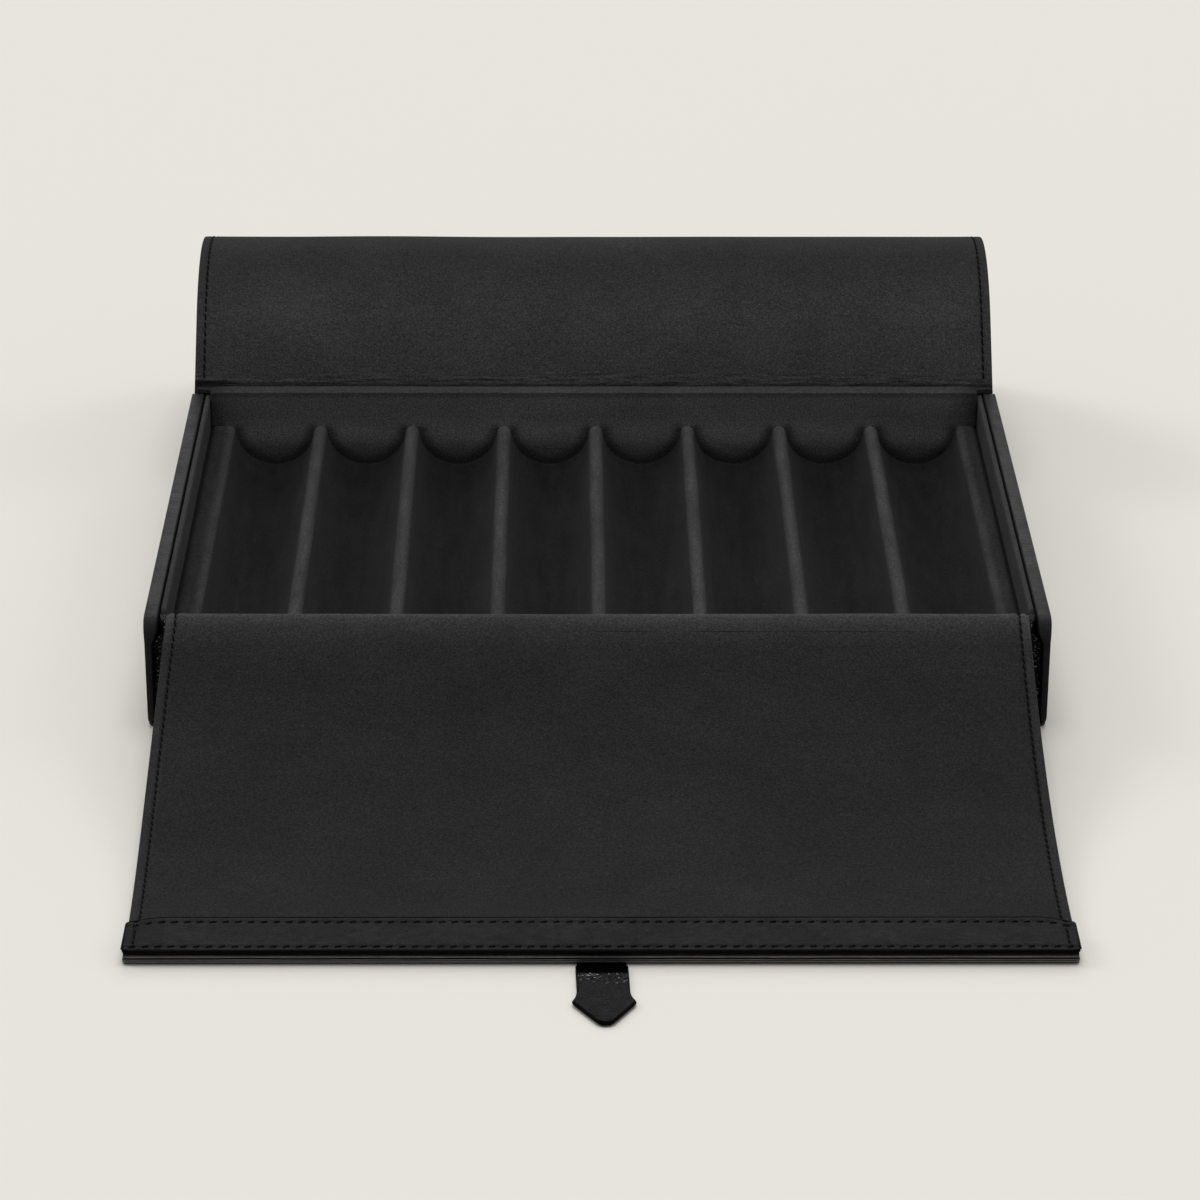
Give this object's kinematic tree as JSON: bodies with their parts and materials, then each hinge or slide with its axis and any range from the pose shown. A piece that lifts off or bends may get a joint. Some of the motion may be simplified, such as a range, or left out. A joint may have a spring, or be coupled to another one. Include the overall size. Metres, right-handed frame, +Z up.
{
  "type": "pen case",
  "caption": "Open leather pen case: a suede-lined tray with parallel half-round pen channels, a rolled rear flap and a front flap with a stitched band and a closing tab.",
  "frame": {"origin": "centre of the tray's underside, on the surface that the case lies on", "axes": "+X to the right along the row of channels, +Y from the front flap to the rear flap, +Z up"},
  "size_m": [0.22, 0.4081, 0.0572],
  "materials": {
    "leather": "black fine-grained calf leather with painted edges",
    "suede": "black short-napped suede lining",
    "board": "grey stiff board inside the walls",
    "bed_block": "shaped fibre block under the bed's suede",
    "thread": "black waxed thread"
  },
  "bodies": {
    "case": {"base_cover": "leather", "base_board": "board", "left_end_cover": "leather", "left_end_board": "board", "left_end_lining": "suede", "right_end_cover": "leather", "right_end_board": "board", "right_end_lining": "suede", "front_wall_cover": "leather", "front_wall_board": "board", "front_wall_lining": "suede", "rear_wall_cover": "leather", "rear_wall_board": "board", "rear_wall_lining": "suede", "bed_core": "bed_block", "bed_lining": "suede"},
    "rear_leaf_1": {"rear_flap_lining_1": "suede", "rear_flap_cover_1": "leather", "keeper_strap": "leather"},
    "rear_leaf_2": {"rear_flap_lining_2": "suede", "rear_flap_cover_2": "leather"},
    "rear_leaf_3": {"rear_flap_lining_3": "suede", "rear_flap_cover_3": "leather"},
    "rear_leaf_4": {"rear_flap_lining_4": "suede", "rear_flap_cover_4": "leather"},
    "rear_leaf_5": {"rear_flap_lining_5": "suede", "rear_flap_cover_5": "leather"},
    "front_strip": {"front_flap_lining_strip": "suede", "front_flap_cover_strip": "leather"},
    "front_upper": {"front_flap_lining_upper": "suede", "front_flap_cover_upper": "leather"},
    "front_lower": {"front_flap_lining_lower": "suede", "front_flap_cover_lower": "leather", "inner_band": "leather", "outer_band": "leather"},
    "tab": {"tab_face": "leather", "tab_backing": "leather"}
  },
  "joints": [
    {"name": "rear_hinge", "type": "hinge", "parent": "case", "child": "rear_leaf_1", "pos_m": [0, 0.0825, 0.0283], "axis": [1, 0, 0], "range_deg": [0, 130]},
    {"name": "rear_roll_1", "type": "hinge", "parent": "rear_leaf_1", "child": "rear_leaf_2", "pos_m": [0, 0.10293, 0.05074], "axis": [1, 0, 0], "range_deg": [0, 30]},
    {"name": "rear_roll_2", "type": "hinge", "parent": "rear_leaf_2", "child": "rear_leaf_3", "pos_m": [0, 0.12044, 0.05711], "axis": [1, 0, 0], "range_deg": [0, 30]},
    {"name": "rear_roll_3", "type": "hinge", "parent": "rear_leaf_3", "child": "rear_leaf_4", "pos_m": [0, 0.13879, 0.05387], "axis": [1, 0, 0], "range_deg": [0, 30]},
    {"name": "rear_roll_4", "type": "hinge", "parent": "rear_leaf_4", "child": "rear_leaf_5", "pos_m": [0, 0.15307, 0.0419], "axis": [1, 0, 0], "range_deg": [0, 30]},
    {"name": "front_hinge", "type": "hinge", "parent": "case", "child": "front_strip", "pos_m": [0, -0.0818, 0.0286], "axis": [-1, 0, 0], "range_deg": [0, 170]},
    {"name": "front_fold", "type": "hinge", "parent": "front_strip", "child": "front_upper", "pos_m": [0, -0.08904, 0.02521], "axis": [-1, 0, 0], "range_deg": [0, 28.3]},
    {"name": "front_sag", "type": "hinge", "parent": "front_upper", "child": "front_lower", "pos_m": [0, -0.13792, 0.00707], "axis": [1, 0, 0], "range_deg": [0, 13.6]},
    {"name": "tab_hinge", "type": "hinge", "parent": "front_lower", "child": "tab", "pos_m": [0, -0.20942, 0.00025], "axis": [1, 0, 0], "range_deg": [-2, 60]}
  ],
  "couplings": [
    {"joint": "rear_roll_1", "follows": "rear_hinge", "ratio": 0.23076},
    {"joint": "rear_roll_2", "follows": "rear_hinge", "ratio": 0.23076},
    {"joint": "rear_roll_3", "follows": "rear_hinge", "ratio": 0.23076},
    {"joint": "rear_roll_4", "follows": "rear_hinge", "ratio": 0.23076},
    {"joint": "front_fold", "follows": "front_hinge", "ratio": 0.16637},
    {"joint": "front_sag", "follows": "front_hinge", "ratio": 0.07971}
  ]
}
